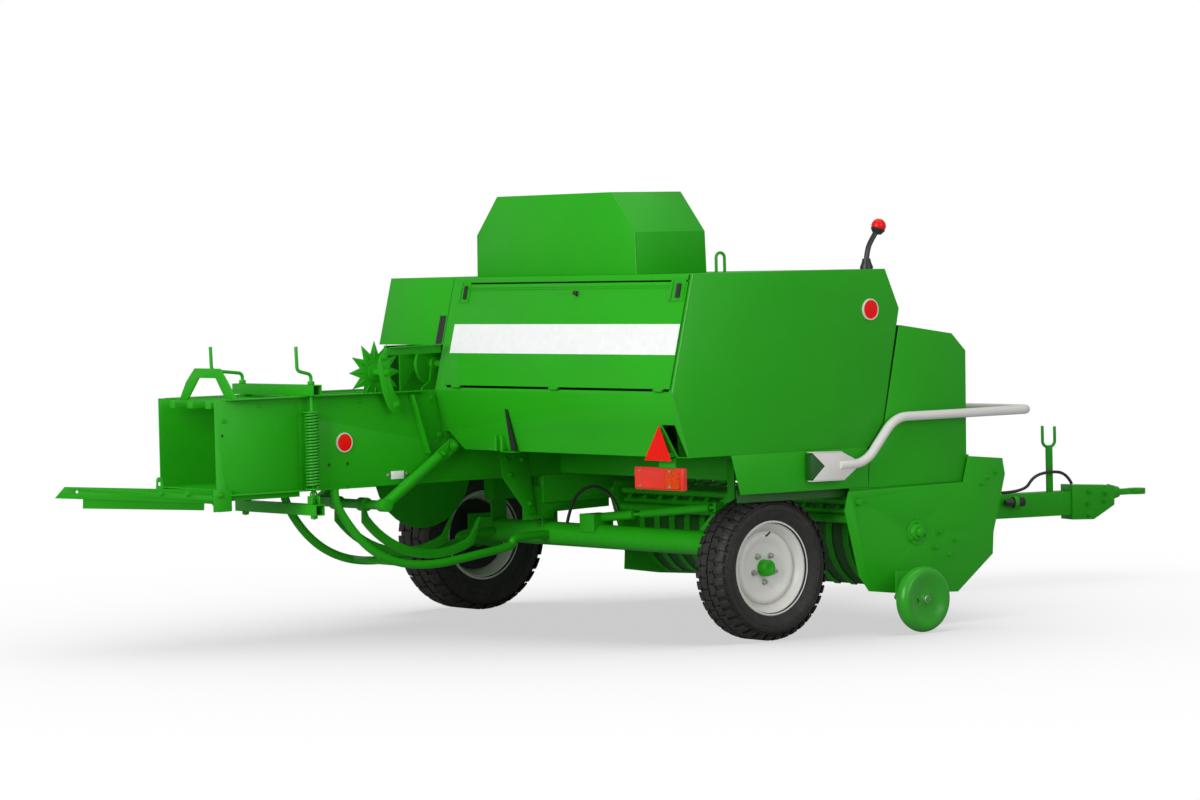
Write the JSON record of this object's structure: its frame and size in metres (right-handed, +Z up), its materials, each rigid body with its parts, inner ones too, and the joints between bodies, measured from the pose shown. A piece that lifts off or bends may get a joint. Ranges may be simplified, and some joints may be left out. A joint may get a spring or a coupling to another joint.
{
  "type": "square baler",
  "caption": "Pulled square baler with bale chamber, side pickup with tined reel, needles, covers, chute, two wheels and a swinging drawbar.",
  "frame": {"origin": "middle of the machine's outline, on the floor", "axes": "+X to the machine's right, +Y forward to the drawbar, +Z up"},
  "size_m": [2.86, 6.3722, 2.023],
  "materials": {
    "paint_green": "gloss green enamel",
    "paint_silver": "silver paint",
    "steel": "worn bright steel",
    "cast": "painted casting",
    "tyre": "matt black rubber",
    "hose": "black hydraulic hose",
    "lens_red": "red lens"
  },
  "bodies": {
    "chassis": {"axle": "paint_green", "main_frame": "paint_green", "chamber_right_wall": "paint_green", "chamber_left_wall": "paint_green", "chamber_floor": "paint_green", "chamber_roof": "paint_green", "tension_tubes": "paint_green", "tension_cranks": "paint_green", "tension_springs": "paint_green", "bale_bow": "paint_green", "yoke_pivots": "steel", "needle_guard": "paint_green", "side_shield": "paint_green", "star_arm": "paint_green", "main_cover": "paint_green", "top_hood": "paint_green", "knotters": "paint_green", "knotter_hinge": "paint_green", "feeder_hood": "paint_green", "side_skirt": "paint_green", "feed_table": "paint_green", "guard_rail": "paint_silver", "gearbox": "cast", "rear_lamp": "lens_red", "marker_lamp": "lens_red", "lifting_eye": "paint_green", "wall_brackets": "paint_green", "lift_spring": "paint_green", "frame_hose": "hose"},
    "wheel_right": {"tyre_right": "tyre", "rim_right": "paint_silver"},
    "wheel_left": {"tyre_left": "tyre", "rim_left": "paint_silver"},
    "ram": {"plunger": "steel"},
    "chute": {"chute": "paint_green"},
    "needles": {"needle_yoke": "paint_green"},
    "star": {"star_wheel": "paint_green"},
    "door": {"rear_door": "paint_green"},
    "knotter_lid": {"knotter_cover": "paint_green"},
    "pickup": {"pickup_frame": "paint_green", "strippers": "paint_green", "windguard": "paint_green", "gauge_arm": "paint_green"},
    "reel": {"pickup_reel": "steel"},
    "gauge": {"gauge_wheel": "paint_green"},
    "flywheel": {"flywheel": "paint_green"},
    "drawbar": {"drawbar": "paint_green", "hitch": "paint_green", "pto_rest": "paint_green", "bar_hose": "hose"},
    "stand": {"parking_stand": "paint_green"}
  },
  "joints": [
    {"name": "wheel_right_spin", "type": "hinge", "parent": "chassis", "child": "wheel_right", "pos_m": [1.06, -0.515, 0.325], "axis": [1, 0, 0], "continuous": true},
    {"name": "wheel_left_spin", "type": "hinge", "parent": "chassis", "child": "wheel_left", "pos_m": [-1.3, -0.368, 0.37], "axis": [1, 0, 0], "continuous": true},
    {"name": "plunger_slide", "type": "slide", "parent": "chassis", "child": "ram", "axis": [0, -1, 0], "range_m": [0, 0.76]},
    {"name": "chute_fold", "type": "hinge", "parent": "chassis", "child": "chute", "pos_m": [-0.79, -2.369, 0.682], "axis": [-1, 0, 0], "range_deg": [0, 86]},
    {"name": "needle_swing", "type": "hinge", "parent": "chassis", "child": "needles", "pos_m": [-0.79, -1.054, 0.863], "axis": [1, 0, 0], "range_deg": [0, 108]},
    {"name": "star_spin", "type": "hinge", "parent": "chassis", "child": "star", "pos_m": [-0.56, -1.43, 1.218], "axis": [1, 0, 0], "continuous": true},
    {"name": "door_hinge", "type": "hinge", "parent": "chassis", "child": "door", "pos_m": [0.32, -1.13032, 1.14295], "axis": [1, 0, 0], "range_deg": [0, 100]},
    {"name": "knotter_lid_hinge", "type": "hinge", "parent": "chassis", "child": "knotter_lid", "pos_m": [-0.79, -0.316, 1.351], "axis": [-1, 0, 0], "range_deg": [0, 60]},
    {"name": "pickup_lift", "type": "hinge", "parent": "chassis", "child": "pickup", "pos_m": [0.32, -0.06, 0.6], "axis": [1, 0, 0], "range_deg": [0, 15]},
    {"name": "reel_spin", "type": "hinge", "parent": "pickup", "child": "reel", "pos_m": [0.32, 0.297, 0.441], "axis": [1, 0, 0], "continuous": true},
    {"name": "gauge_spin", "type": "hinge", "parent": "pickup", "child": "gauge", "pos_m": [1.391, 0.161, 0.153], "axis": [1, 0, 0], "continuous": true},
    {"name": "flywheel_spin", "type": "hinge", "parent": "chassis", "child": "flywheel", "pos_m": [-0.79, 1.13, 0.905], "axis": [0, 1, 0], "continuous": true},
    {"name": "drawbar_swing", "type": "hinge", "parent": "chassis", "child": "drawbar", "pos_m": [-0.69, 0.735, 0.3925], "axis": [0, 0, 1], "range_deg": [0, 20]},
    {"name": "stand_fold", "type": "hinge", "parent": "drawbar", "child": "stand", "pos_m": [-0.32691, 1.86059, 0.395], "axis": [0.9703, -0.2419, 0], "range_deg": [-90, 0]}
  ]
}
